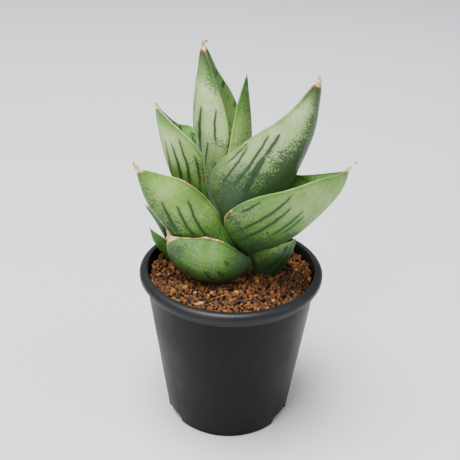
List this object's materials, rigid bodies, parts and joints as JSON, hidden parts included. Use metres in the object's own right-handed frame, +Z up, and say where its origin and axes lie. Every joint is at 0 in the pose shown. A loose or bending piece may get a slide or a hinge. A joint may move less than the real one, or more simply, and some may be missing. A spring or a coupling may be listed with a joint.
{
  "type": "potted snake plant",
  "caption": "Small snake plant with a rosette of folded, pointed leaves and a young offset, in gritty soil in a round tapered plastic nursery pot.",
  "frame": {"origin": "middle of the overall footprint, on the surface that the pot stands on", "axes": "+Z up along the pot's axis, -Y towards the front, +X to the right seen from the front"},
  "size_m": [0.0975, 0.09, 0.1854],
  "materials": {
    "pot": "satin moulded black plastic",
    "soil": "matt hard clay grains",
    "rhizome": "fibrous skin",
    "snake_leaf": "waxy, silver green with dark stripes",
    "offset_leaf": "waxy, dark green"
  },
  "bodies": {
    "root": {"pot": "pot", "soil": "soil", "rhizome": "rhizome", "leaf_back_tall": "snake_leaf", "leaf_back_left": "snake_leaf", "leaf_left": "snake_leaf", "leaf_centre": "snake_leaf", "leaf_right_tall": "snake_leaf", "leaf_right": "snake_leaf", "leaf_front": "snake_leaf", "leaf_right_base": "snake_leaf", "leaf_back_right": "snake_leaf", "offset_leaf_upper": "offset_leaf", "offset_leaf_lower": "offset_leaf", "offset_leaf_inner": "offset_leaf"}
  },
  "joints": []
}
